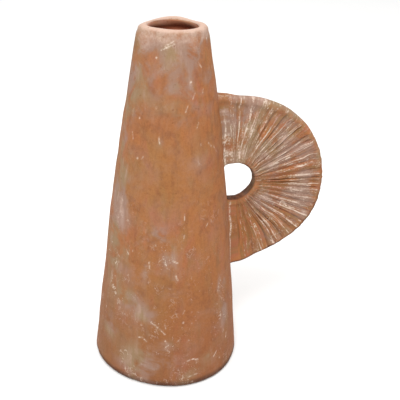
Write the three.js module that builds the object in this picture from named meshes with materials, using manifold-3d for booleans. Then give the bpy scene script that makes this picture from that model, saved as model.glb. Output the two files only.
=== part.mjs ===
// A hand-built conical terracotta vase with one upright disc handle.
// Millimetres, +Z up. The origin is the centre of the foot, on the surface that the vase stands on, and the
// handle reaches out along +X. The potter's pieces are kept apart: wall courses, floor, rim and handle pieces.

import * as THREE from "three";
import { mergeVertices } from "three/addons/utils/BufferGeometryUtils.js";
import Module from "manifold-3d";

const { degToRad, lerp } = THREE.MathUtils;

// Body
const footRadius = 86.4; // outside of the cone, carried down to the foot
const neckRadius = 37.6; // outside of the cone under the rim
const neckHeight = 384; // the rim is luted on here
const bellyBulge = 3.9; // how far the side stands out from a straight cone
const bellySkew = 1.3; // above 1 lifts the fullest part of the side
const footRounding = 5;
const wallThickness = 8.5;
const courseHeights = [0, 105, 215, 325, neckHeight];
const courseNames = ["lower_wall", "middle_wall", "upper_wall", "neck_wall"];
const courseSteps = 4; // facets up the side of one course
const bodySegments = 48;
const slabThickness = 10;

// Rim: a roll of clay turned inwards over the mouth
const rimRollRadius = 5.2;
const rimRollCentre = 30.3; // radius of the roll's centre line
const vaseHeight = 397;

// Handle: an upright disc with a finger hole at its centre
const discRadius = 103;
const discStretch = 1.02; // wider than it is high by this much each way, the finger hole with it
const discCentreX = 72;
const discCentreZ = 218;
const holeRadius = 21.6;
const collarWidth = 7.2;
const collarHalfThickness = 7;
const edgeBandWidth = 14.5;
const edgeRollRadius = 7;
const webHalfThickness = 5.4;
const ridgeCount = 64; // ridges in a full turn
const facetsPerRidge = 3;
const ridgeHeight = 1.2; // above and below the web's middle surface
const discSegments = 72;

// Handle roots: clay worked in between the wall and the disc
const rootReach = 9;
const rootHalfWidth = 10.5; // where it meets the wall
const rootHalfThickness = 6; // where it meets the disc

const clearance = 0.3; // between neighbouring pieces

const wasm = await Module();
wasm.setup();

function toSolid(geometry) {
  const bare = geometry.clone();
  bare.deleteAttribute("normal");
  bare.deleteAttribute("uv");
  const merged = mergeVertices(bare, 1e-4);
  const vertProperties = new Float32Array(merged.attributes.position.array);
  const triVerts = new Uint32Array(merged.index.array);
  return new wasm.Manifold(new wasm.Mesh({ numProp: 3, vertProperties, triVerts }));
}

function toGeometry(solid) {
  const mesh = solid.getMesh();
  const geometry = new THREE.BufferGeometry();
  geometry.setAttribute("position", new THREE.BufferAttribute(new Float32Array(mesh.vertProperties), 3));
  geometry.setIndex(new THREE.BufferAttribute(new Uint32Array(mesh.triVerts), 1));
  geometry.computeVertexNormals();
  return geometry;
}

function moveVertices(geometry, place) {
  const position = geometry.attributes.position;
  const vertex = new THREE.Vector3();
  for (let i = 0; i < position.count; i += 1) {
    place(vertex.fromBufferAttribute(position, i));
    position.setXYZ(i, vertex.x, vertex.y, vertex.z);
  }
  return geometry;
}

const point = (radius, height) => new THREE.Vector2(radius, height);

// Points of an arc, or of an ellipse's arc, from one angle in degrees to another
function arc(x, y, radiusX, radiusY, from, to, divisions) {
  const points = [];
  for (let i = 0; i <= divisions; i += 1) {
    const angle = degToRad(lerp(from, to, i / divisions));
    points.push(point(x + radiusX * Math.cos(angle), y + radiusY * Math.sin(angle)));
  }
  return points;
}

// A ring turned about Z from a profile of radius and height, which runs anticlockwise
function turnedAboutZ(profile, segments = bodySegments) {
  return new THREE.LatheGeometry(profile, segments).rotateX(Math.PI / 2);
}

// Outside radius of the body at a height
function wallRadius(z) {
  const t = z / neckHeight;
  return lerp(footRadius, neckRadius, t) + bellyBulge * Math.sin(Math.PI * t ** bellySkew);
}

// Points up the outside of the body, or up a surface parallel to it
function side(from, to, steps, offset = 0) {
  const points = [];
  for (let i = 0; i <= steps; i += 1) {
    const z = lerp(from, to, i / steps);
    points.push(point(wallRadius(z) + offset, z));
  }
  return points;
}

function wallCourse(bottom, top) {
  const inside = side(bottom, top, courseSteps, -wallThickness).reverse();
  const foot = arc(
    wallRadius(footRounding) - footRounding, footRounding, footRounding, footRounding, -90, 0, 4
  );
  const outside = bottom === 0
    ? [...foot, ...side(footRounding, top, courseSteps).slice(1)]
    : side(bottom, top, courseSteps);
  const profile = [...outside, ...inside, outside[0]];
  return turnedAboutZ(profile);
}

function baseSlab() {
  const bottomRadius = wallRadius(0) - wallThickness - clearance;
  const topRadius = wallRadius(slabThickness) - wallThickness - clearance;
  return turnedAboutZ([
    point(0, 0), point(bottomRadius, 0), point(topRadius, slabThickness), point(0, slabThickness),
  ]);
}

function rim() {
  const seat = neckHeight + clearance;
  const rollHeight = vaseHeight - rimRollRadius;
  const roll = arc(rimRollCentre, rollHeight, rimRollRadius, rimRollRadius, 10, 190, 10);
  const outerFoot = point(neckRadius, seat);
  const innerFoot = point(neckRadius - wallThickness, seat);
  return turnedAboutZ([outerFoot, ...roll, innerFoot, outerFoot]);
}

// Everything inside a surface parallel to the wall, over the height of the handle
function bodyCutter(offset) {
  const low = discCentreZ - discRadius - rootReach;
  const high = discCentreZ + discRadius + rootReach;
  return turnedAboutZ([point(0, low), ...side(low, high, 12, offset), point(0, high)]);
}

// Stretches a piece made round the origin's Y axis and moves it to the handle's centre
function placeOnDisc(geometry) {
  return geometry.scale(discStretch, 1, 1 / discStretch).translate(discCentreX, 0, discCentreZ);
}

// A disc piece turned about the handle's axis and cut where the handle's roots begin
function discPiece(profile, segments, shape = (geometry) => geometry) {
  const ring = placeOnDisc(shape(new THREE.LatheGeometry(profile, segments)));
  const cutter = toSolid(bodyCutter(rootReach + 2 * clearance));
  return toGeometry(toSolid(ring).subtract(cutter));
}

function collar() {
  const outer = holeRadius + collarWidth;
  const profile = arc(outer, 0, collarWidth, collarHalfThickness, 90, 270, 8);
  return discPiece([...profile, profile[0]], discSegments / 2);
}

function edgeBand() {
  const inner = discRadius - edgeBandWidth;
  const rollCentre = discRadius - edgeRollRadius;
  const roll = arc(rollCentre, 0, edgeRollRadius, edgeRollRadius, -120, 120, 8);
  const profile = [point(inner, -webHalfThickness), ...roll, point(inner, webHalfThickness)];
  return discPiece([...profile, profile[0]], discSegments);
}

// Ridges run outwards from the finger hole on both faces, and die away towards its collar and the edge band
function pressRidges(geometry) {
  const inner = holeRadius + collarWidth;
  const outer = discRadius - edgeBandWidth;
  return moveVertices(geometry, (vertex) => {
    const along = (Math.hypot(vertex.x, vertex.z) - inner) / (outer - inner);
    const wave = Math.cos(ridgeCount * Math.atan2(vertex.z, vertex.x));
    const height = ridgeHeight * wave * Math.sin(Math.PI * lerp(0.15, 0.85, along));
    vertex.y += Math.sign(vertex.y) * height;
  });
}

function web() {
  const inner = holeRadius + collarWidth + clearance;
  const outer = discRadius - edgeBandWidth - clearance;
  const radii = [0, 0.15, 0.5, 0.85, 1].map((t) => lerp(inner, outer, t));
  const front = radii.map((radius) => point(radius, -webHalfThickness));
  const back = radii.map((radius) => point(radius, webHalfThickness)).reverse();
  return discPiece([...front, ...back, front[0]], ridgeCount * facetsPerRidge, pressRidges);
}

// A bar of flared section up the whole handle, bent onto the wall's slope and roundness
function rootBar() {
  const section = new THREE.Shape();
  const wallPoints = 6;
  section.moveTo(0, rootHalfWidth);
  for (let i = 1; i <= wallPoints; i += 1) {
    section.lineTo(0, lerp(rootHalfWidth, -rootHalfWidth, i / wallPoints));
  }
  section.quadraticCurveTo(rootReach * 0.2, -rootHalfThickness, rootReach, -rootHalfThickness);
  section.lineTo(rootReach, rootHalfThickness);
  section.quadraticCurveTo(rootReach * 0.2, rootHalfThickness, 0, rootHalfWidth);
  const height = 2 * discRadius;
  const bar = new THREE.ExtrudeGeometry(section, {
    depth: height, steps: 12, bevelEnabled: false, curveSegments: 5,
  });
  bar.translate(0, 0, discCentreZ - height / 2);
  return moveVertices(bar, (vertex) => {
    vertex.x += clearance + Math.sqrt(wallRadius(vertex.z) ** 2 - vertex.y ** 2);
  });
}

// The root bar trimmed to the disc's outline and finger hole: a lower and an upper root
function handleRoots() {
  const thickness = 3 * rootHalfWidth;
  const disc = new THREE.CylinderGeometry(discRadius, discRadius, thickness, discSegments);
  const hole = new THREE.CylinderGeometry(holeRadius, holeRadius, thickness + 2, discSegments / 2);
  const outline = toSolid(placeOnDisc(disc)).subtract(toSolid(placeOnDisc(hole)));
  const roots = toSolid(rootBar()).intersect(outline).decompose();
  const centreHeight = (solid) => {
    const box = solid.boundingBox();
    return (box.min[2] + box.max[2]) / 2;
  };
  return roots.sort((a, b) => centreHeight(a) - centreHeight(b)).map(toGeometry);
}

function clay(colour, roughness) {
  return new THREE.MeshStandardMaterial({ color: colour, roughness, metalness: 0 });
}

const vase = new THREE.Group();

function add(name, geometry, material) {
  const mesh = new THREE.Mesh(geometry, material);
  mesh.name = name;
  vase.add(mesh);
}

courseNames.forEach((name, i) => {
  const bottom = courseHeights[i] + (i > 0 ? clearance : 0);
  add(name, wallCourse(bottom, courseHeights[i + 1]), clay("#ad7049", 0.9));
});
add("base_slab", baseSlab(), clay("#a0643f", 0.95));
add("rim", rim(), clay("#c39a80", 0.88));
add("handle_web", web(), clay("#a97250", 0.9));
add("handle_edge", edgeBand(), clay("#ae6f47", 0.88));
add("finger_hole_collar", collar(), clay("#b3744a", 0.88));
const [lowerRoot, upperRoot] = handleRoots();
add("lower_handle_root", lowerRoot, clay("#ab6e48", 0.9));
add("upper_handle_root", upperRoot, clay("#b07a58", 0.9));

export default vase;
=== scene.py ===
# A hand-built conical terracotta vase with one upright disc handle.
# Shapes are worked out in millimetres in the CAD model's own frame (+Z up, origin at the centre of the foot,
# handle towards +X) and become metres as each mesh is made. Lights and material patterns are in metres.

import math
from collections import namedtuple

import bpy
import numpy as np
from mathutils import Matrix, Vector


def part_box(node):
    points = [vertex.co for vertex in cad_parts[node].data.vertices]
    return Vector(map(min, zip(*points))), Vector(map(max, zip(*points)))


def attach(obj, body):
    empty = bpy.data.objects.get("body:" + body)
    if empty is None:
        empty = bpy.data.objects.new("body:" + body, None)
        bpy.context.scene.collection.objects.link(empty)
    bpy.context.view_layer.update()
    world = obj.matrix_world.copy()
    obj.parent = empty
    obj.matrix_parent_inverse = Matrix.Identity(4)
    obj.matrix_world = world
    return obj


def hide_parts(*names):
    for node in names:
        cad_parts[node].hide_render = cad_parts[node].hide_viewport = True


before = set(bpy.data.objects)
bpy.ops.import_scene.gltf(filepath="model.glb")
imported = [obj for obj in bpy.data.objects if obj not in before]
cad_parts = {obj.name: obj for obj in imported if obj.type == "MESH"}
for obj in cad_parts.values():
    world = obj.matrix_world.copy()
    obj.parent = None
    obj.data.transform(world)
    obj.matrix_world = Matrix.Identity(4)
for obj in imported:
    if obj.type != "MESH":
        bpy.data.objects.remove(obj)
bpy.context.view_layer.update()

MM = 0.001
TINY = 0.001                 # millimetres, keeps a length off nought


def top_of(node):
    """Height of the top of a CAD node, in millimetres."""
    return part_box(node)[1].z / MM


# Body
COURSES = ("lower_wall", "middle_wall", "upper_wall", "neck_wall")
FOOT_RADIUS = 86.4           # outside of the cone, carried down to the foot
NECK_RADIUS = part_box("rim")[1].x / MM
NECK_HEIGHT = round(top_of("neck_wall"))
VASE_HEIGHT = top_of("rim")
BELLY_BULGE = 3.9            # how far the side stands out from a straight cone
BELLY_SKEW = 1.3             # above 1 lifts the fullest part of the side
WALL_THICKNESS = 8.5
FOOT_ROUNDING = 5.0
FOOT_TIGHT_SIDE = math.radians(-20)
FOOT_TIGHTENING = 0.18       # share by which the rounding is tighter there, and softer opposite
FOOT_LOBES = 1.4             # the foot is a little three-sided
FOOT_LOBE_ANGLE = math.radians(53)
FOOT_LOBE_FADE = 90.0        # height over which the lobes die away
SLAB_THICKNESS = top_of("base_slab")
RIM_ROLL_RADIUS = 5.2
RIM_ROLL_CENTRE = 30.3       # radius of the roll's centre line
RIM_ROLL_TURN = 200          # degrees that the roll turns through, from its outside over and in
BARE_ROLL = (149, 157)       # degrees round the roll between which the wash gives way to bare clay

# Places on the lip: degrees round, half-width in degrees, how far
LIP_PINCHES = ((38, 24, 3.0), (136, 40, 3.8))    # its outside is pressed down
LIP_RISE = (90, 42, 1.2)                         # it stands higher at the very back
LIP_TILT = 0.35              # the whole lip rises this much towards the front

# Handle
DISC_RADIUS = 103.0
DISC_STRETCH = 1.02
DISC_X = 72.0
DISC_Z = 218.0
HOLE_RADIUS = 21.6
HOLE_ROUNDING = 3.5          # the finger hole's wall is squarer than the disc's outer edge
COLLAR_WIDTH = 7.2
COLLAR_HALF_THICKNESS = 6.9
COLLAR_BLEND = 2.6           # how softly the collar runs into the web
EDGE_BAND_WIDTH = 14.5
EDGE_ROLL_RADIUS = 6.6
EDGE_BLEND = 3.0             # and the edge band
WEB_HALF_THICKNESS = 5.1
UPPER_END = 97.0                 # degrees round the finger hole where the disc meets its upper root
LOWER_END = -83.5
UPPER_RAY = math.radians(UPPER_END)
LOWER_RAY = math.radians(LOWER_END)
ROOT_HALF_WIDTH = 10.5           # of the root where it meets the wall
ROOT_ROUNDING = 9.0
ROOT_TENSION = 0.8               # how straight the disc runs on before it turns out onto the wall
ROOT_SINK = 0.1                  # into the wall, so that no gap shows
HOLE_FILLET = 3.0                # how far the root runs along the wall into the finger hole
CREASE_WIDTH = 1.0               # of the smoothed-over join between the wall and the handle
CREASE_DEPTH = 0.4
# The crease: height, and how far out from the wall it runs there
CREASE_PATH = (
    (115, 0.3), (150, 1.9), (163, 4.3), (176, 3.2), (196, 4.3),
    (240, 2.0), (258, 2.6), (282, 5.5), (310, 7.0),
)
CREASE_TOP = 312                 # the height at which it has died away

# Mesh fineness
BODY_COLUMNS = 440
STEP = 1.25                  # millimetres between points on what shows
INSIDE_STEP = 3.0
ROUNDING_POINTS = 14         # across the foot's, the disc's or the finger hole's rounded edge
ROLL_POINTS = 36             # round the roll of the lip
LIP_CURVE_POINTS = 12        # on each curve that joins the roll to the neck
DISC_COLUMNS = 460
WEB_POINTS = 76              # from the collar to the edge band
EDGE_STEP = 0.8              # millimetres between points across the collar and the edge band
ROOT_ROWS = 120
ROOT_COLUMNS = 30
SHARP_ANGLE = math.radians(50)


# ---------------------------------------------------------------- small helpers

def smoothstep(low, high, value):
    t = np.clip((value - low) / (high - low), 0, 1)
    return t * t * (3 - 2 * t)


def mix(a, b, t):
    return a + (b - a) * t


def quarter_round(distance, radius):
    """From 0 at an edge to 1 where a rounding of that radius ends."""
    t = 1 - np.clip(distance / radius, 0, 1)
    return np.sqrt(1 - t * t)


def steps(low, high, step):
    """Evenly spaced values from low to high, about a step apart."""
    return np.linspace(low, high, max(2, round(abs(high - low) / step) + 1))


def wavy_field(seed, count, size, most_turns, shortest, longest):
    """A smooth random function of an angle and a length, which closes on itself after a full turn."""
    rng = np.random.default_rng(seed)
    turns = rng.integers(-most_turns, most_turns + 1, count)
    rise = 2 * np.pi / rng.uniform(shortest, longest, count)
    phase = rng.uniform(0, 2 * np.pi, count)

    def field(angle, length):
        waves = [np.cos(k * angle + w * length + p) for k, w, p in zip(turns, rise, phase)]
        return size * sum(waves) / math.sqrt(count / 2)

    return field


def grid_faces(rows, columns, wrap_rows=False, wrap_columns=False):
    """Quads of a grid of points, which may close on itself either way."""
    row, column = np.meshgrid(
        np.arange(rows if wrap_rows else rows - 1),
        np.arange(columns if wrap_columns else columns - 1),
        indexing="ij",
    )
    next_row, next_column = (row + 1) % rows, (column + 1) % columns
    corners = (
        row * columns + column,
        row * columns + next_column,
        next_row * columns + next_column,
        next_row * columns + column,
    )
    return np.stack(corners, axis=-1).reshape(-1, 4)


def ladder_faces(loop):
    """Quads that close a loop of an even number of points, each joining its first half to its second."""
    half = len(loop) // 2
    return np.array([(loop[k], loop[k + 1], loop[-2 - k], loop[-1 - k]) for k in range(half - 1)])


def signed_volume(points, faces):
    a, b, c, d = (points[faces[:, k]] for k in range(4))
    return np.einsum("ij,ij->i", a, np.cross(b, c) + np.cross(c, d)).sum() / 6


def make_piece(name, points, faces, **attributes):
    """A closed, smooth mesh with its faces pointing out, which stands for the CAD node of the same name."""
    points = points.reshape(-1, 3)
    if signed_volume(points, faces) < 0:
        faces = faces[:, ::-1]
    mesh = bpy.data.meshes.new(name)
    mesh.from_pydata((points * MM).tolist(), [], faces.tolist())
    for key, values in attributes.items():
        layer = mesh.attributes.new(key, "FLOAT", "POINT")
        layer.data.foreach_set("value", np.asarray(values, np.float32).ravel())
    mesh.shade_smooth()
    mesh.set_sharp_from_angle(angle=SHARP_ANGLE)
    piece = bpy.data.objects.new(name + "_clay", mesh)
    bpy.context.scene.collection.objects.link(piece)
    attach(piece, "root")
    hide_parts(name)
    return piece


# ---------------------------------------------------------------- body surface

broad_waves = wavy_field(seed=11, count=10, size=0.22, most_turns=3, shortest=90, longest=260)
thumb_waves = wavy_field(seed=12, count=26, size=0.17, most_turns=9, shortest=26, longest=70)
scrape_waves = wavy_field(seed=13, count=30, size=0.07, most_turns=48, shortest=60, longest=400)
coil_waves = wavy_field(seed=14, count=14, size=0.7, most_turns=3, shortest=14, longest=24)
lip_waves = wavy_field(seed=15, count=5, size=0.2, most_turns=4, shortest=900, longest=1000)


def wall_radius(z):
    """Outside radius of the plain cone at a height."""
    t = np.clip(z / NECK_HEIGHT, 0, 1)
    cone = mix(FOOT_RADIUS, NECK_RADIUS, t)
    return cone + BELLY_BULGE * np.sin(np.pi * t ** BELLY_SKEW)


def unevenness(angle, z):
    """How far the hand-smoothed surface stands out from the plain cone."""
    lobes = FOOT_LOBES * np.cos(3 * (angle - FOOT_LOBE_ANGLE)) * np.exp(-z / FOOT_LOBE_FADE)
    return lobes + broad_waves(angle, z) + thumb_waves(angle, z) + scrape_waves(angle, z)


def outer_radius(angle, z):
    return wall_radius(z) + unevenness(angle, z)


def inner_radius(angle, z):
    """The inside keeps the ridges of the coils it was built from."""
    return wall_radius(z) + broad_waves(angle, z) - WALL_THICKNESS + coil_waves(angle, z)


def polar(radius, angle, z):
    return np.stack(
        np.broadcast_arrays(radius * np.cos(angle), radius * np.sin(angle), z), axis=-1
    )


# ---------------------------------------------------------------- whitewash and marks on the body

# Each scratch is a line of points: degrees round from +X, and height
SCRATCHES = (
    ((-111, 383), (-98, 388)),
    ((-117, 379), (-98, 385)),
    ((-113, 84), (-108, 79), (-101, 70)),
    ((-123, 61), (-120, 62), (-116, 58)),
    ((-101, 62), (-98, 56), (-101, 53), (-97, 47)),
    ((-83, 34), (-78, 35), (-74, 33)),
    ((-82, 12), (-75, 14)),
    ((-55, 33), (-59, 28)),
    ((-41, 46), (-42, 40)),
    ((-117, 156), (-116, 149)),
    ((-96, 160), (-91, 157)),
    ((-93, 143), (-91, 137)),
    ((-113, 294), (-112, 287)),
    ((-142, 163), (-138, 158)),
)
SPECKS = (
    (-123, 371), (-75, 349), (-118, 323), (-140, 309), (-137, 268), (-152, 216), (-36, 387),
    (-86, 84), (-82, 60), (-121, 78), (-90, 61), (-150, 143), (-154, 122),
)
# Each patch of whitewash: degrees round, height, half-width in degrees, half-height, strength
HAZE_PATCHES = (
    (-75, 348, 6, 7, 0.9), (-99, 343, 7, 7, 0.6), (-91, 312, 10, 9, 0.3), (-112, 291, 4, 6, 0.8),
    (-66, 374, 9, 12, 0.5), (-146, 368, 16, 16, 0.5), (-160, 322, 13, 50, 0.7), (-159, 240, 11, 40, 0.7),
    (-160, 175, 13, 50, 0.75), (-151, 212, 6, 14, 0.5), (-66, 267, 10, 9, 0.3), (-108, 190, 8, 9, 0.6),
    (-100, 165, 7, 18, 0.6), (-95, 138, 5, 9, 0.6), (-140, 160, 6, 9, 0.6), (-119, 150, 3, 10, 0.7),
    (-152, 118, 6, 12, 0.5), (-137, 105, 11, 10, 1.0), (-122, 93, 9, 9, 0.7), (-108, 82, 7, 10, 0.6),
    (-99, 58, 5, 9, 0.6), (-118, 27, 18, 20, 1.1), (-128, 140, 27, 60, 0.16), (-155, 56, 8, 14, 0.6),
    (-45, 116, 7, 18, 0.6), (-44, 77, 7, 18, 0.6), (-61, 34, 8, 10, 0.5), (-81, 14, 8, 8, 0.4),
    (30, 60, 16, 40, 0.8), (75, 250, 18, 60, 0.6), (120, 120, 20, 45, 0.8), (160, 300, 16, 40, 0.6),
    (60, 140, 9, 18, 0.6), (100, 340, 14, 20, 0.6), (150, 50, 10, 20, 0.7), (15, 340, 12, 30, 0.4),
)
HAZE_EVERYWHERE = 0.27
# Where it thickens towards the rim: from one height to another, and by how much
HAZE_TOWARDS_RIM = ((295, 365, 0.5), (366, 395, 0.95), (394, 397, 0.4))
SCRATCH_WIDTH = 0.55
SPECK_WIDTH = 1.7 * SCRATCH_WIDTH
RANDOM_SCRATCHES = 70
RANDOM_STRENGTH = 0.6
WARM_SIDE = math.radians(-30)    # where the fire left the clay most orange


def round_distance(angle, degrees):
    """Signed angle from a direction, the short way round, in radians."""
    return (angle - math.radians(degrees) + np.pi) % (2 * np.pi) - np.pi


def line_mark(angle, z, start, end, width):
    """From 0 to 1 near a straight stroke on the body."""
    across = round_distance(angle, start[0]) * wall_radius(z)
    rise = z - start[1]
    run = math.radians(end[0] - start[0]) * wall_radius((start[1] + end[1]) / 2)
    climb = end[1] - start[1]
    length = max(math.hypot(run, climb), TINY)
    along = np.clip((across * run + rise * climb) / length ** 2, 0, 1)
    distance = np.hypot(across - along * run, rise - along * climb)
    return np.exp(-(distance / width) ** 2)


def random_strokes():
    """Small scratches and chips all round, most of them upright or slanting."""
    rng = np.random.default_rng(21)
    for _ in range(RANDOM_SCRATCHES):
        angle, height = rng.uniform(-180, 180), rng.uniform(8, 380)
        length, slant = rng.uniform(1, 7), rng.uniform(-0.9, 0.9)
        turn = math.degrees(length * slant / wall_radius(height))
        yield (angle, height), (angle + turn, height + length)


def body_marks(angle, z):
    marks = np.zeros(angle.shape)
    for points in SCRATCHES:
        for start, end in zip(points, points[1:]):
            marks = np.maximum(marks, line_mark(angle, z, start, end, SCRATCH_WIDTH))
    for spot in SPECKS:
        marks = np.maximum(marks, line_mark(angle, z, spot, spot, SPECK_WIDTH))
    for start, end in random_strokes():
        marks = np.maximum(marks, RANDOM_STRENGTH * line_mark(angle, z, start, end, SCRATCH_WIDTH))
    return marks


def body_haze(angle, z):
    """How much thin whitewash is left: most towards the rim, and in soft patches."""
    haze = HAZE_EVERYWHERE
    for low, high, more in HAZE_TOWARDS_RIM:
        haze = haze + more * smoothstep(low, high, z)
    for degrees, height, half_width, half_height, strength in HAZE_PATCHES:
        across = round_distance(angle, degrees) / math.radians(half_width)
        rise = (z - height) / half_height
        haze = haze + strength * np.exp(-(across ** 2 + rise ** 2))
    return haze


def body_warmth(angle):
    """How much more orange the clay is: most on the side of the handle."""
    facing = 0.5 + 0.5 * np.cos(angle - WARM_SIDE)
    return smoothstep(0.5, 0.95, facing)


# ---------------------------------------------------------------- body pieces

ANGLES = np.linspace(0, 2 * np.pi, BODY_COLUMNS, endpoint=False)[None, :]
INSIDE_WASH = 0.25           # share of the whitewash that is left inside
BARE_UNDERSIDE = 0.4         # share of the inside's bare colour that the underside has


def body_ring(name, radius, z, outside, painted_shade=0.0):
    """A ring of clay from its closed profile: a row of points for each place round the profile."""
    angle = np.broadcast_to(ANGLES, radius.shape)
    z = np.broadcast_to(z, radius.shape)
    outside = np.broadcast_to(outside, radius.shape)
    faces = grid_faces(*radius.shape, wrap_rows=True, wrap_columns=True)
    return make_piece(
        name, polar(radius, angle, z), faces,
        haze=body_haze(angle, z) * np.maximum(outside, INSIDE_WASH),
        marks=body_marks(angle, z) * outside, warmth=body_warmth(angle),
        # The last argument is painted shade, passed on as negative relief so that it takes the furrows' dark
        # tone.
        inside=1 - outside, relief=0 * outside - painted_shade,
    )


def wall_course(name):
    low, high = (round(v.z / MM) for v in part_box(name))
    up = steps(low, high, STEP)[:, None]
    down = steps(high, low, INSIDE_STEP)[:, None]
    outer, outer_z = outer_radius(ANGLES, up), up
    if low == 0:
        outer, outer_z = rounded_foot(up[up[:, 0] > FOOT_ROUNDING])
    radius = np.concatenate([outer, inner_radius(ANGLES, down)])
    z = np.concatenate([
        np.broadcast_to(outer_z, outer.shape),
        np.broadcast_to(down, (len(down), BODY_COLUMNS)),
    ])
    outside = np.concatenate([np.ones(len(outer)), np.zeros(len(down))])[:, None]
    if low == 0:
        outside[-1] = 1 - BARE_UNDERSIDE
    return body_ring(name, radius, z, outside)


def rounded_foot(up):
    """The foot's soft lower edge, tighter on some sides than on others, and the wall above it."""
    rounding = FOOT_ROUNDING * (1 - FOOT_TIGHTENING * np.cos(ANGLES - FOOT_TIGHT_SIDE))
    turn = np.radians(np.linspace(-90, 0, ROUNDING_POINTS))[:, None]
    arc_z = rounding * (1 + np.sin(turn))
    arc_radius = outer_radius(ANGLES, arc_z) - rounding * (1 - np.cos(turn))
    radius = np.concatenate([arc_radius, outer_radius(ANGLES, up)])
    z = np.concatenate([arc_z, np.broadcast_to(up, (len(up), BODY_COLUMNS))])
    return radius, z


def bezier(a, b, c, d, t):
    u = 1 - t
    return u ** 3 * a + 3 * u * u * t * b + 3 * u * t * t * c + t ** 3 * d


def lip_swelling(angle, degrees, half_width, height):
    """A smooth swelling round one place of the lip."""
    return height * np.exp(-(round_distance(angle, degrees) / math.radians(half_width)) ** 2)


def pressed_lip(angle, radius, z):
    """Height of a point of the lip, uneven and tilted, once its outside is pinched down in two places."""
    outwards = smoothstep(-1.1, 0.6, (radius - RIM_ROLL_CENTRE) / RIM_ROLL_RADIUS)
    pinch = sum(lip_swelling(angle, *place) for place in LIP_PINCHES)
    rise = lip_swelling(angle, *LIP_RISE)
    lift = lip_waves(angle, 0) - LIP_TILT * np.sin(angle) + rise - outwards * pinch
    return z + smoothstep(NECK_HEIGHT, VASE_HEIGHT, z) * lift


def rim():
    """A thick roll of clay turned in over the mouth. Soft curves join it to the neck, outside and in."""
    roll_z = VASE_HEIGHT - RIM_ROLL_RADIUS
    t = np.linspace(0, 1, LIP_CURVE_POINTS)[:-1, None]
    turn = np.radians(np.linspace(0, RIM_ROLL_TURN, ROLL_POINTS))[:, None]
    outer_roll = RIM_ROLL_CENTRE + RIM_ROLL_RADIUS
    outside_r = bezier(NECK_RADIUS, NECK_RADIUS - 0.5, outer_roll + 0.6, outer_roll, t)
    outside_z = bezier(NECK_HEIGHT, NECK_HEIGHT + 4, roll_z - 3, roll_z, t)
    over_r = RIM_ROLL_CENTRE + RIM_ROLL_RADIUS * np.cos(turn)
    over_z = roll_z + RIM_ROLL_RADIUS * np.sin(turn)
    inner_foot = NECK_RADIUS - WALL_THICKNESS
    inside_r = bezier(over_r[-1], over_r[-1] + 0.6, inner_foot - 1, inner_foot, t[1:])
    inside_z = bezier(over_z[-1], over_z[-1] - 2, NECK_HEIGHT + 3, NECK_HEIGHT, t[1:])
    radius = np.concatenate([outside_r, over_r, inside_r, [[inner_foot]]])
    z = np.concatenate([outside_z, over_z, inside_z, [[NECK_HEIGHT]]])
    bare = smoothstep(*BARE_ROLL, np.degrees(turn))
    inside = np.concatenate([0 * outside_r, bare, 1 + 0 * inside_r, [[1.0]]])
    sway = mix(unevenness(ANGLES, z), broad_waves(ANGLES, z) + coil_waves(ANGLES, z), inside)
    # Painted shade: the inside of the lip is darkened, fading out where it meets the neck, as if in the
    # mouth's shadow.
    painted_shade = 0.7 * inside * smoothstep(NECK_HEIGHT, NECK_HEIGHT + 4, z)
    return body_ring("rim", radius + sway, pressed_lip(ANGLES, radius, z), 1 - inside, painted_shade)


def base_slab():
    """The floor: a disc of clay inside the foot, with a fine groove round it underneath."""
    groove = 0.2
    bevel = 0.8
    edge_drop = 1.0
    rings = np.concatenate([[1.0], np.arange(4, 70, 4.0)])[:, None]
    under_edge = inner_radius(ANGLES, 0) - groove
    over_edge = inner_radius(ANGLES, SLAB_THICKNESS) - groove
    bottom = np.minimum(rings * np.ones_like(ANGLES), under_edge - bevel)
    top = bottom[::-1]
    radius = np.concatenate([bottom, under_edge - bevel, under_edge, over_edge, top])
    dip = thumb_waves(ANGLES, top) - 0.5
    z = np.concatenate([
        0 * bottom, 0 * under_edge, bevel + 0 * under_edge,
        SLAB_THICKNESS - edge_drop + 0 * over_edge, SLAB_THICKNESS + dip * smoothstep(0, 30, top),
    ])
    rows = len(radius)
    columns = np.arange(BODY_COLUMNS)
    faces = [
        grid_faces(rows, BODY_COLUMNS, wrap_columns=True),
        ladder_faces(columns)[:, ::-1],
        ladder_faces((rows - 1) * BODY_COLUMNS + columns),
    ]
    inside = np.where(np.arange(rows) > rows // 2, 1.0, BARE_UNDERSIDE)[:, None]
    return make_piece(
        "base_slab", polar(radius, ANGLES, z), np.concatenate(faces),
        haze=0 * radius, marks=0 * radius, inside=inside + 0 * radius,
    )


# ---------------------------------------------------------------- handle surface

outline_waves = wavy_field(seed=31, count=9, size=0.25, most_turns=22, shortest=900, longest=1000)
plate_waves = wavy_field(seed=32, count=16, size=0.22, most_turns=6, shortest=30, longest=90)
warp_waves = wavy_field(seed=33, count=4, size=0.7, most_turns=2, shortest=150, longest=300)

# Ridges that stand out on the front face, in degrees round from +X
BOLD_RIDGES = (-74, -62, -53, -44, -36, -28, -21, -16, -9, -3, 0, 6, 14, 20, 29, 41, 48, 55, 63, 68, 76, 88)
# Each patch of whitewash on the disc: degrees round, distance from its centre, half-width in degrees,
# half-length, strength
DISC_PATCHES = (
    (84, 66, 20, 30, 1.0), (42, 70, 20, 28, 0.7), (5, 88, 16, 18, 0.6), (-22, 82, 14, 20, 0.75),
    (-46, 78, 14, 20, 0.7), (-28, 42, 16, 9, 0.9), (25, 45, 12, 12, 0.4), (84, 37, 18, 9, 0.8),
    (-75, 98, 8, 12, 0.4),
)


def bump(degrees, centre, half_width):
    return np.exp(-((degrees - centre) / half_width) ** 2)


def plate_point(distance, angle):
    """X and Z of a point of the disc, from its distance and angle round the finger hole's centre."""
    x = DISC_X + DISC_STRETCH * distance * np.cos(angle)
    z = DISC_Z + distance * np.sin(angle) / DISC_STRETCH
    return x, z


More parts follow.
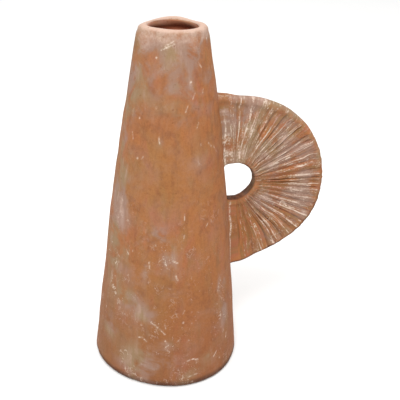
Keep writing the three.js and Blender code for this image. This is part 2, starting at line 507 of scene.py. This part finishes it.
def disc_outline(angle):
    """Distance of the disc's outer edge: a hand-cut circle, fuller at its lower right, which runs out along
    the wall at both ends."""
    degrees = np.degrees(angle)
    fuller = 0.7 + 4.3 * bump(degrees, -28, 26) + 0.9 * bump(degrees, -62, 14)
    flatter = -0.9 * smoothstep(65, 84, degrees)
    flare = 8.0 * smoothstep(88, 108, degrees) + 8.0 * smoothstep(-66, -88, degrees)
    return DISC_RADIUS + fuller + flatter + flare + outline_waves(angle, 0)


def hole_outline(angle):
    """Distance of the finger hole's edge: a little larger towards its top, and tighter at its lower right."""
    degrees = np.degrees(angle)
    larger = 2.0 * np.cos(angle - math.radians(75)) - 1.5 * bump(degrees, -40, 30)
    return HOLE_RADIUS + larger + 0.5 * outline_waves(angle + 1.0, 0)


Pleats = namedtuple("Pleats", "edges crests heights wash")


def pleats(seed, spacing, bold=()):
    """Folds pressed into one face, from the bottom round to the top: the angles between them, where each has
    its crest, how high it is and how much whitewash it holds. The spacing, in degrees, widens at both ends,
    and a fold near a bold ridge ends just past it, so that its crest falls about there."""
    rng = np.random.default_rng(seed)
    edges = [LOWER_END + 1.5]
    while edges[-1] < UPPER_END - 4:
        here = edges[-1]
        wider = 1 + 0.5 * smoothstep(45, 85, here) + 0.2 * smoothstep(-50, -80, here)
        step = spacing * wider * rng.uniform(0.55, 1.45)
        ahead = [r for r in bold if here + 0.5 * step < r + 0.25 * step < here + 1.6 * step]
        edges.append(ahead[0] + 0.25 * step if ahead else here + step)
    count = len(edges) - 1
    crests = rng.uniform(0.35, 0.8, count)
    heights = rng.uniform(0.4, 1.2, count)
    wash = rng.uniform(0.0, 1.0, count)
    return Pleats(np.radians(edges), crests, heights, wash)


def folded(pleat, angle):
    """How far up the nearest crest each place is, from 0 in a furrow to 1, and which fold it is in."""
    fold = np.clip(np.searchsorted(pleat.edges, angle) - 1, 0, len(pleat.crests) - 1)
    across = np.clip((angle - pleat.edges[fold]) / (pleat.edges[fold + 1] - pleat.edges[fold]), 0, 1)
    crest = pleat.crests[fold]
    return np.minimum(across / crest, (1 - across) / (1 - crest)), fold


drift_waves = wavy_field(seed=34, count=12, size=math.radians(0.9), most_turns=5, shortest=50, longest=160)
vigour_waves = wavy_field(seed=35, count=24, size=0.4, most_turns=40, shortest=18, longest=60)
RIDGE_SPACING = 5.3          # degrees
RIDGE_DEPTH = 3.0
RIDGE_LEVEL = 0.55           # height of a fold that is level with the plain web
WRINKLE_SPACING = 1.9        # degrees between the finer wrinkles over the ridges
WRINKLE_SHARE = 0.3          # of the ridges' depth
SCALLOP = 0.6                # how far the ridges push the disc's outline in and out
TURN_RADIUS = 60.0           # distance from the finger hole at which the looks' turn is a true length

# One face of the disc: its side, -1 in front and 1 behind, its folds, and how far round, in radians, each
# random pattern is shifted so that the two faces differ
Face = namedtuple("Face", "side ridges wrinkles fold_shift plate_shift grain_shift")
FRONT = Face(-1, pleats(41, RIDGE_SPACING, BOLD_RIDGES), pleats(43, WRINKLE_SPACING), 0.0, 0.0, 0.0)
BACK = Face(1, pleats(42, RIDGE_SPACING), pleats(44, WRINKLE_SPACING), 2.0, 3.0, 4.0)


def disc_edge(angle):
    """The disc's outline with the ridges that run out over it on its right."""
    slope, fold = folded(FRONT.ridges, angle + drift_waves(angle, DISC_RADIUS))
    pushed = SCALLOP * (slope * FRONT.ridges.heights[fold] - 0.5)
    return disc_outline(angle) + pushed * smoothstep(50, 15, np.degrees(angle))


def ridge_share(distance, angle, fold_angle):
    """The folds' share of their full depth. They die away towards the finger hole, the rolled edge and both
    roots, each at its own distance, and are calmer at the top and the bottom of the disc."""
    degrees = np.degrees(angle)
    to_hole = distance - hole_outline(angle) + 2.0 * np.sin(7 * fold_angle)
    to_edge = disc_outline(angle) - distance + 1.5 * np.sin(9 * fold_angle)
    plain_collar = smoothstep(5, -20, degrees)
    right = smoothstep(72, 35, degrees)
    start = smoothstep(3 * plain_collar, 6 + 4 * plain_collar, to_hole)
    end = smoothstep(mix(6.0, 1.5, right), mix(11.0, 7.0, right), to_edge)
    sides = smoothstep(UPPER_END, UPPER_END - 6, degrees) * smoothstep(LOWER_END, LOWER_END + 2, degrees)
    room = np.clip(distance / 62, 0.55, 1)
    calm = mix(1.0, 0.55, smoothstep(50, 80, degrees)) * mix(1.0, 0.6, smoothstep(-60, -78, degrees))
    return start * end * sides * room * calm


def pressed_ridges(distance, angle, face):
    """Height of the pressed folds from 0 to about 1, how far up its fold each place is, the folds' share of
    their full depth here, and their whitewash."""
    ridges, shift = face.ridges, face.fold_shift
    warped = angle + drift_waves(angle + shift, distance)
    slope, fold = folded(ridges, warped)
    fine, _ = folded(face.wrinkles, warped + 0.6 * drift_waves(angle + shift + 1, 1.7 * distance))
    fold_angle = ridges.edges[fold]
    vigour = np.clip(1 + vigour_waves(fold_angle + shift, distance), 0.3, 1.5)
    height = mix(slope, np.sin(np.pi / 2 * slope), 0.45) * ridges.heights[fold] * vigour
    share = ridge_share(distance, angle, fold_angle)
    return mix(height, fine, WRINKLE_SHARE), mix(slope, fine, WRINKLE_SHARE), share, ridges.wash[fold]


def plate_half_thickness(distance, angle, face):
    """Half the disc's thickness, with its rolled edge, its smooth collar and the pressed ridges."""
    to_hole = distance - hole_outline(angle)
    to_edge = disc_edge(angle) - distance
    collar_bump = np.exp(-(np.clip(to_hole - COLLAR_HALF_THICKNESS, 0, None) / COLLAR_BLEND) ** 2)
    edge_bump = np.exp(-(np.clip(to_edge - EDGE_ROLL_RADIUS, 0, None) / EDGE_BLEND) ** 2)
    level = (
        WEB_HALF_THICKNESS
        + (COLLAR_HALF_THICKNESS - WEB_HALF_THICKNESS) * collar_bump
        + (EDGE_ROLL_RADIUS - WEB_HALF_THICKNESS) * edge_bump
    )
    level = level + plate_waves(angle + face.plate_shift, distance)
    height, _, share, _ = pressed_ridges(distance, angle, face)
    level = level + RIDGE_DEPTH * (height - RIDGE_LEVEL) * share
    return level * quarter_round(to_hole, HOLE_ROUNDING) * quarter_round(to_edge, EDGE_ROLL_RADIUS)


LOOKS = ("haze", "marks", "relief", "turn", "reach")


def disc_patches(distance, degrees):
    """Whitewash left in soft patches. The back has the front's upside down."""
    return sum(
        strength * np.exp(-((degrees - around) / half_width) ** 2 - ((distance - out) / half_length) ** 2)
        for around, out, half_width, half_length, strength in DISC_PATCHES
    )


def handle_looks(distance, angle, face):
    """What the material needs to know about the disc's surface. turn and reach are its polar coordinates, in
    metres, and turn stays the same along a ridge of the front however it drifts."""
    _, slope, share, wash = pressed_ridges(distance, angle, face)
    strength = np.clip(1.3 * share, 0, 1)
    to_hole = distance - hole_outline(angle)
    to_edge = disc_edge(angle) - distance
    degrees = np.degrees(angle)
    patches = disc_patches(distance, -face.side * degrees) * mix(0.8, 0.3 + wash, strength)
    # Painted highlight: extra whitewash along the upper part of the disc's rolled edge, which faces up into
    # the light.
    edge_highlight = 0.5 * smoothstep(4.5, 1.0, to_edge) * smoothstep(10, 40, degrees)
    # Painted shade: the disc's edge, from its right round to its bottom, turns dark and loses most of its
    # wash, as if turned away from the light.
    edge_shade = smoothstep(45, -35, degrees) * smoothstep(6.3, 3.0, to_edge)
    # Painted shade: the finger hole's wall is darkened.
    painted_shade = 0.9 * smoothstep(3.4, 1.0, to_hole)
    even_wash = 0.52 - 0.4 * smoothstep(-45, -70, degrees) + 0.3 * strength * (wash - 0.5)
    return {
        "haze": (even_wash + patches + edge_highlight) * (1 - 0.7 * edge_shade),
        "marks": 0 * distance,
        "relief": mix(strength * (2 * slope - 1), -0.86, edge_shade) - painted_shade,
        "turn": (angle + drift_waves(angle, distance) + face.grain_shift) * TURN_RADIUS * MM,
        "reach": distance * MM,
    }


def closed_strip(name, surface):
    """A piece from its front and back grids of points, joined along both sides and closed at both ends.
    surface gives the x, y, z and looks of one face."""
    loops, looks = [], []
    for face in (FRONT, BACK):
        x, y, z, look = surface(face)
        points = np.stack(np.broadcast_arrays(x, y, z), axis=-1)
        look = np.stack([np.broadcast_to(look[key], x.shape) for key in LOOKS], axis=-1)
        loops.append(points[:, ::-face.side])
        looks.append(look[:, ::-face.side])
    points = np.concatenate(loops, axis=1)
    looks = np.concatenate(looks, axis=1)
    rows, columns = points.shape[:2]
    first = ladder_faces(np.arange(columns))
    last = ladder_faces((rows - 1) * columns + np.arange(columns))[:, ::-1]
    around = grid_faces(rows, columns, wrap_columns=True)[:, ::-1]
    attributes = {key: looks[..., k] for k, key in enumerate(LOOKS)}
    return make_piece(name, points, np.concatenate([around, first, last]), **attributes)


SECTOR = np.linspace(LOWER_RAY, UPPER_RAY, DISC_COLUMNS + 1)[:, None]


def disc_sector(name, distances):
    """A band of the disc between its two roots. distances gives, for angles, the distances from one side of
    the band to the other."""
    distance = distances(SECTOR)
    x, z = plate_point(distance, SECTOR)

    def surface(face):
        y = warp_waves(SECTOR, distance) + face.side * plate_half_thickness(distance, SECTOR, face)
        return x, y, z, handle_looks(distance, SECTOR, face)

    return closed_strip(name, surface)


def rounded_distances(radius, width):
    """Distances from an edge across its rounding, bunched towards the edge, then on to the given width."""
    turn = np.radians(np.linspace(4, 90, ROUNDING_POINTS))
    rounding = radius * (1 - np.cos(turn))
    return np.concatenate([rounding, steps(radius, width, EDGE_STEP)[1:]])


def handle_web():
    spread = np.linspace(0, 1, WEB_POINTS)[None, :]
    return disc_sector(
        "handle_web",
        lambda angle: mix(hole_outline(angle) + COLLAR_WIDTH, disc_edge(angle) - EDGE_BAND_WIDTH, spread),
    )


def handle_edge():
    inward = rounded_distances(EDGE_ROLL_RADIUS, EDGE_BAND_WIDTH)[None, ::-1]
    return disc_sector("handle_edge", lambda angle: disc_edge(angle) - inward)


def finger_hole_collar():
    outward = rounded_distances(HOLE_ROUNDING, COLLAR_WIDTH)[None, ::-1]
    return disc_sector("finger_hole_collar", lambda angle: hole_outline(angle) + outward)


def follow(outline, ray, x, up):
    """Height of one of the disc's outlines at each x, carried on past the ray where the disc itself ends."""
    angle = np.full_like(x, ray)
    for _ in range(5):    # enough rounds for the height to settle
        reach = outline(angle)
        angle = up * np.arccos((x - DISC_X) / (DISC_STRETCH * reach))
    return DISC_Z + reach * np.sin(angle) / DISC_STRETCH


def join_crease(from_wall, z, row):
    """From 0 to 1 near the smoothed-over join. It fades at the finger hole, the disc's edge and its top."""
    heights, distances = zip(*CREASE_PATH)
    line = np.exp(-((from_wall - np.interp(z, heights, distances)) / CREASE_WIDTH) ** 2)
    return line * smoothstep(0.0, 0.08, row) * smoothstep(1.0, 0.9, row) * smoothstep(CREASE_TOP, 290, z)


def handle_root(name, ray, up):
    """Clay worked in between the wall and the disc. up is 1 above the finger hole and -1 below it.
    Rows run from the finger hole to the disc's outer edge, and columns from the disc to the wall and back."""
    row = (1 - np.cos(np.linspace(0, np.pi, ROOT_ROWS)))[:, None] / 2
    column = np.linspace(0, 1, ROOT_COLUMNS)[None, :]
    hole, edge = hole_outline(ray), disc_edge(ray)
    distance = mix(hole, edge, row)

    def end_height(outline):
        x_disc, z_disc = plate_point(outline(ray), ray)
        return follow(outline, ray, mix(x_disc, wall_radius(z_disc), column), up)

    z = mix(end_height(hole_outline) - up * HOLE_FILLET * column ** 3, end_height(disc_edge), row)
    x_disc = DISC_X + DISC_STRETCH ** 2 * (z - DISC_Z) / math.tan(ray)
    rounding = quarter_round(distance - hole, ROOT_ROUNDING) * quarter_round(edge - distance, ROOT_ROUNDING)

    def surface(face):
        # both ends keep a sliver of thickness where the rounding would bring them to nothing
        start = np.maximum(plate_half_thickness(distance, ray, face), 0.03)
        end = np.maximum(ROOT_HALF_WIDTH * rounding, 0.04) * np.ones_like(column)
        wall = outer_radius(face.side * end / wall_radius(z), z) - ROOT_SINK
        wall_x = np.sqrt(wall ** 2 - end ** 2)
        reach = ROOT_TENSION * (x_disc - wall_x)
        x = bezier(x_disc, x_disc - reach, wall_x + 0.4, wall_x, column)
        y = bezier(start, start, mix(start, end, 0.5), end, column)
        crease = join_crease(x - wall_x, z, row)
        warp = warp_waves(ray, distance) * (1 - column ** 2)
        look = handle_looks(distance, ray, face)
        look["marks"] = crease
        return x, warp + face.side * (y - CREASE_DEPTH * crease * rounding), z, look

    return closed_strip(name, surface)


# ---------------------------------------------------------------- materials

def colour(code):
    """Linear colour from an sRGB hex code."""
    values = [int(code[i:i + 2], 16) / 255 for i in (1, 3, 5)]
    linear = [v / 12.92 if v <= 0.04045 else ((v + 0.055) / 1.055) ** 2.4 for v in values]
    return (*linear, 1.0)


class Graph:
    """A material's node tree, built a node at a time. Values may be numbers, colours or sockets."""

    def __init__(self, name):
        self.material = bpy.data.materials.new(name)
        self.material.use_nodes = True
        self.tree = self.material.node_tree
        self.tree.nodes.clear()

    def add(self, kind, inputs, output=0, **settings):
        node = self.tree.nodes.new("ShaderNode" + kind)
        for key, value in settings.items():
            setattr(node, key, value)
        for socket, value in inputs.items():
            if isinstance(value, bpy.types.NodeSocket):
                self.tree.links.new(value, node.inputs[socket])
            else:
                node.inputs[socket].default_value = value
        return node.outputs[output]

    def attribute(self, name):
        return self.add("Attribute", {}, "Fac", attribute_name=name)

    def scaled(self, x, y, z):
        place = self.add("TexCoord", {}, "Object")
        return self.add("Mapping", {"Vector": place, "Scale": (x, y, z)})

    def noise(self, vector, scale, detail=4.0, roughness=0.55, distortion=0.0):
        inputs = {
            "Vector": vector, "Scale": scale, "Detail": detail, "Roughness": roughness,
            "Distortion": distortion,
        }
        return self.add("TexNoise", inputs, "Fac")

    def remap(self, value, low, high, to_low=0.0, to_high=1.0):
        inputs = {"Value": value, "From Min": low, "From Max": high, "To Min": to_low, "To Max": to_high}
        return self.add("MapRange", inputs, interpolation_type="SMOOTHSTEP")

    def math(self, operation, a, b):
        return self.add("Math", {0: a, 1: b}, operation=operation)

    def product(self, *values):
        result = values[0]
        for value in values[1:]:
            result = self.math("MULTIPLY", result, value)
        return result

    def total(self, *values):
        result = values[0]
        for value in values[1:]:
            result = self.math("ADD", result, value)
        return result

    def off_middle(self, noise):
        """How far a noise is from its middle value: small along winding lines."""
        return self.math("ABSOLUTE", self.math("SUBTRACT", noise, 0.5), 0.0)

    def blend(self, factor, a, b):
        return self.add("Mix", {0: factor, 6: a, 7: b}, 2, data_type="RGBA")

    def surface(self, inputs):
        shader = self.add("BsdfPrincipled", inputs)
        output = self.tree.nodes.new("ShaderNodeOutputMaterial")
        self.tree.links.new(shader, output.inputs["Surface"])


CLAY = colour("#9c6239")
CLAY_OCHRE = colour("#986636")
CLAY_OLIVE = colour("#88663d")
CLAY_RED = colour("#a05c44")
CLAY_ORANGE = colour("#ad693a")
CLAY_WARM = colour("#a5612f")
CLAY_INSIDE = colour("#cb7f5f")
CLAY_DARK = colour("#774527")
FURROW_SHADE = colour("#6d3d20")
SHADE_LINE = colour("#472512")
MIST = colour("#917668")
MIST_OLIVE = colour("#8c7559")
WASH = colour("#ad8f81")
CREAM = colour("#c6a897")
CHALK = colour("#e8d6c4")


class ClayGraph(Graph):
    """A clay's node tree with the patterns that its layers share. ridge_wash is 1 on the ridged handle and 0
    elsewhere. The meshes say where wash, marks and relief are; relief below nought also carries painted
    shade."""

    def __init__(self, name, ridge_wash):
        super().__init__(name)
        self.ridge_wash = ridge_wash
        self.place = self.scaled(1, 1, 1)
        self.above_floor = self.add("SeparateXYZ", {0: self.place}, "Z")
        self.haze, self.relief, self.marks = (self.attribute(key) for key in ("haze", "relief", "marks"))
        turn, reach = self.attribute("turn"), self.attribute("reach")
        self.radial = self.add("CombineXYZ", {"X": turn, "Y": self.product(reach, 0.15)})
        self.straight = self.add("CombineXYZ", {"X": turn, "Y": self.product(reach, 0.04)})
        self.fibres = self.noise(self.radial, 640, 5, 0.7)
        self.streaks = self.fibres if ridge_wash else self.noise(self.scaled(1, 1, 0.13), 170, 6, 0.65)
        self.clouds = self.noise(self.place, 28, 6, 0.62, 0.5)
        self.grain = self.noise(self.place, 430, 5, 0.7)
        self.sand = self.noise(self.place, 1100, 3, 0.7)
        self.thin_wash = self.product(self.haze, self.remap(self.clouds, 0.37, 0.62, 0.18, 1.0))


def fired_clay(g):
    """Drifts of tone, red and olive streaks, fine sandy mottling, painted shade low on the body and the
    plainer inside.
    """
    smeared = g.scaled(1, 1, 0.45)
    tone = g.blend(g.remap(g.noise(g.place, 11, 4), 0.35, 0.65), CLAY_OCHRE, CLAY)
    tone = g.blend(g.product(g.attribute("warmth"), 0.42), tone, CLAY_WARM)
    tone = g.blend(g.remap(g.noise(smeared, 31, 5, 0.6, 0.4), 0.5, 0.7, 0, 0.4), tone, CLAY_ORANGE)
    tone = g.blend(g.remap(g.noise(smeared, 44, 5, 0.6, 0.6), 0.5, 0.72, 0, 0.6), tone, CLAY_RED)
    tone = g.blend(g.remap(g.noise(smeared, 62, 5, 0.6, 0.3), 0.49, 0.72, 0, 0.5), tone, CLAY_OLIVE)
    tone = g.blend(g.remap(g.noise(g.place, 75, 5, 0.65, 0.4), 0.47, 0.69, 0, 0.5), tone, CLAY_DARK)
    tone = g.blend(g.remap(g.total(g.sand, g.grain), 0.8, 1.3, 0.0, 0.4), tone, CLAY_DARK)
    # Painted shade: the body's clay darkens towards the bottom, where less light reaches it.
    tone = g.blend(g.remap(g.above_floor, 0.21, 0.0, 0.0, 0.5 * (1 - g.ridge_wash)), tone, CLAY_DARK)
    # Painted shade: a dark band along the foot's rounded lower edge, which faces down.
    tone = g.blend(g.remap(g.above_floor, 0.0105, 0.004, 0.0, 0.9), tone, SHADE_LINE)
    tone = g.blend(g.remap(g.streaks, 0.5, 0.34, 0.0, 0.3), tone, CLAY_DARK)
    return g.blend(g.attribute("inside"), tone, CLAY_INSIDE)


def ridge_colours(g, tone):
    """Streaks of colour that run with the ridges, and painted shade where the relief is below nought: dark
    furrows between them with broken darker lines.
    """
    for scale, low, high, most, clay in (
        (150, 0.47, 0.62, 0.5, CLAY_ORANGE),
        (210, 0.50, 0.64, 0.5, CLAY_RED),
        (330, 0.48, 0.63, 0.7, CLAY_OLIVE),
    ):
        streak = g.remap(g.noise(g.radial, scale, 3, 0.6), low, high)
        tone = g.blend(g.product(streak, most, g.ridge_wash), tone, clay)
    # Painted shade in the furrows and wherever else the relief is below nought.
    tone = g.blend(g.product(g.remap(g.relief, 0.0, -1.0), 0.65), tone, FURROW_SHADE)
    gaps = g.remap(g.noise(g.place, 90, 3), 0.38, 0.56, 0.25, 1.0) if g.ridge_wash else 0.4
    return g.blend(g.product(g.remap(g.relief, -0.55, -0.9), gaps), tone, SHADE_LINE)


def whitewash(g, tone):
    """A thin grey mist in clouds, brushed streaks over it, and a thick coat where haze is high."""
    mist = g.blend(g.remap(g.noise(g.place, 24, 3), 0.45, 0.6), MIST, MIST_OLIVE)
    tone = g.blend(g.remap(g.thin_wash, 0.0, 0.9, 0.0, 0.85), tone, mist)
    brushed = g.product(g.haze, g.remap(g.total(g.streaks, g.product(g.clouds, 0.8)), 0.86, 1.22))
    tone = g.blend(g.remap(brushed, 0.0, 1.3, 0.0, 0.7), tone, WASH)
    coat = g.total(g.haze, g.product(g.clouds, 1.5), g.product(g.grain, 0.7))
    return g.blend(g.remap(coat, 2.35, 3.2, 0.0, 0.9), tone, CREAM)


def caught_wash(g, tone):
    """Wash caught on the ridges, in broken lines and hairlines that run with them."""
    held = g.total(g.product(g.relief, 0.26), g.product(g.haze, 0.15))
    caught = g.total(g.fibres, g.product(g.grain, 0.8), held)
    crest = g.product(g.remap(caught, 1.08, 1.36), g.ridge_wash)
    tone = g.blend(g.product(crest, 0.7), tone, WASH)
    hair = g.remap(g.off_middle(g.noise(g.straight, 380, 2, 0.5)), 0.05, 0.015)
    hairlines = g.product(hair, g.remap(caught, 1.0, 1.2), g.ridge_wash)
    tone = g.blend(g.product(hairlines, 0.6), tone, CHALK)
    bright = g.product(g.remap(caught, 1.36, 1.56), g.ridge_wash)
    return g.blend(g.product(bright, 0.55), tone, CHALK)


def scuffs(g):
    """Where the clay is scuffed down to pale slip: flecks, short curled strokes and scratches, most of them
    low on the body."""
    low = g.remap(g.above_floor, 0.26, 0.15, 0.15, 1.0)
    patches = g.remap(g.noise(g.place, 42, 3, 0.6), 0.45, 0.58)
    worn = g.product(patches, g.remap(g.haze, 0.2, 0.9, 0.3, 1.0), low)
    flecks = g.product(g.remap(g.noise(g.place, 330, 4, 0.6, 1.6), 0.60, 0.68), worn)
    curl = g.remap(g.off_middle(g.noise(g.place, 115, 2, 0.5, 0.8)), 0.035, 0.012)
    short = g.remap(g.noise(g.place, 74, 3), 0.52, 0.6)
    curls = g.product(curl, short, worn, g.remap(g.grain, 0.36, 0.52))
    patchy = g.remap(g.noise(g.place, 160, 3), 0.38, 0.58, 0.25, 1.0)
    broken = g.product(g.marks, patchy, g.remap(g.grain, 0.36, 0.54))
    return g.math("MAXIMUM", g.product(g.math("MAXIMUM", flecks, curls), 0.75), broken)


def fine_surface(g, pale, pits):
    """Sand, brush strokes and raised slip, with heights in millimetres."""
    brush = g.noise(g.scaled(1, 1, 0.06), 420, 4, 0.6)
    height = g.total(
        g.product(g.sand, 0.10), g.product(brush, 0.18), g.product(g.grain, 0.22), g.product(pale, 0.12),
        g.product(g.fibres, g.ridge_wash, 0.45), g.product(pits, -0.2),
    )
    return g.add("Bump", {"Height": height, "Distance": MM, "Strength": 1.0}, "Normal")


def clay_material(name, ridge_wash):
    """Matte terracotta with thin whitewash rubbed off it."""
    g = ClayGraph(name, ridge_wash)
    tone = caught_wash(g, whitewash(g, ridge_colours(g, fired_clay(g))))
    pale = scuffs(g)
    pits = g.remap(g.noise(g.place, 260, 3, 0.6), 0.36, 0.28, 0.0, 0.5)
    tone = g.blend(pits, g.blend(g.product(pale, 0.8), tone, CHALK), CLAY_DARK)
    rough = g.remap(g.total(g.grain, g.product(g.thin_wash, 0.5)), 0.3, 1.0, 0.72, 0.95)
    normal = fine_surface(g, pale, pits)
    g.surface({"Base Color": tone, "Roughness": rough, "Normal": normal, "Specular IOR Level": 0.3})
    return g.material


# ---------------------------------------------------------------- floor, light and camera

CAMERA_PLACE = (-117.5, -699.3, 561.9)    # millimetres
CAMERA_HEADING = math.radians(12.3)      # to the right of +Y
CAMERA_PITCH = math.radians(27.1)        # downwards
CAMERA_ROLL = math.radians(2.5)
CAMERA_LENS = 63.5
SENSOR_WIDTH = 36.0
FLOOR_HALF = 6.0                         # metres, half of its side
FLOOR_TOP = -0.0003                      # metres, a hair under the foot
FLOOR_GREY = colour("#f8f8f7")
FLOOR_WHITE = colour("#fbfbfa")
LIT_POINT = (0.02, 0, 0.2)               # metres, the middle of the vase
DAYLIGHT = 0.88                          # strength of the even white light all round


def floor():
    mesh = bpy.data.meshes.new("floor")
    corners = [(x * FLOOR_HALF, y * FLOOR_HALF, FLOOR_TOP) for x, y in ((-1, -1), (1, -1), (1, 1), (-1, 1))]
    mesh.from_pydata(corners, [], [(0, 1, 2, 3)])
    g = Graph("pale_floor")
    tint = g.blend(g.noise(g.scaled(1, 1, 1), 3, 2), FLOOR_GREY, FLOOR_WHITE)
    g.surface({"Base Color": tint, "Roughness": 0.9, "Specular IOR Level": 0.1})
    mesh.materials.append(g.material)
    plane = bpy.data.objects.new("floor", mesh)
    bpy.context.scene.collection.objects.link(plane)


def area_light(name, place, size, power):
    """A square soft light that faces the vase. Its place and size are in metres, its power in watts."""
    light = bpy.data.lights.new(name, "AREA")
    light.size = size
    light.energy = power
    lamp = bpy.data.objects.new(name, light)
    bpy.context.scene.collection.objects.link(lamp)
    lamp.location = place
    lamp.rotation_euler = (Vector(LIT_POINT) - Vector(place)).to_track_quat("-Z", "Y").to_euler()


def lights():
    world = bpy.data.worlds.new("studio")
    world.use_nodes = True
    background = world.node_tree.nodes["Background"]
    background.inputs["Color"].default_value = (1.0, 1.0, 1.0, 1.0)
    background.inputs["Strength"].default_value = DAYLIGHT
    bpy.context.scene.world = world
    area_light("key", place=(-0.4, -1.15, 2.1), size=0.8, power=28)
    area_light("overhead", place=(0.2, 0.3, 2.2), size=2.0, power=14)


def camera():
    data = bpy.data.cameras.new("camera")
    data.lens = CAMERA_LENS
    data.sensor_width = SENSOR_WIDTH
    view = bpy.data.objects.new("camera", data)
    bpy.context.scene.collection.objects.link(view)
    place = Matrix.Translation([v * MM for v in CAMERA_PLACE])
    turn = Matrix.Rotation(-CAMERA_HEADING, 4, "Z") @ Matrix.Rotation(math.pi / 2 - CAMERA_PITCH, 4, "X")
    view.matrix_world = place @ turn @ Matrix.Rotation(CAMERA_ROLL, 4, "Z")
    bpy.context.scene.camera = view


# ---------------------------------------------------------------- the vase

RIDGE_WASH = {"wall_clay": 0.0, "floor_clay": 0.0, "rim_clay": 0.0, "handle_clay": 1.0}
MATERIALS = {name: clay_material(name, ridge_wash) for name, ridge_wash in RIDGE_WASH.items()}


def finish_piece(piece, slot):
    piece.data.materials.append(MATERIALS[slot])


for course in COURSES:
    finish_piece(wall_course(course), "wall_clay")
finish_piece(base_slab(), "floor_clay")
finish_piece(rim(), "rim_clay")
for piece in (
    handle_web(),
    handle_edge(),
    finger_hole_collar(),
    handle_root("lower_handle_root", LOWER_RAY, up=-1),
    handle_root("upper_handle_root", UPPER_RAY, up=1),
):
    finish_piece(piece, "handle_clay")

floor()
lights()
camera()
bpy.context.scene.view_settings.view_transform = "Standard"
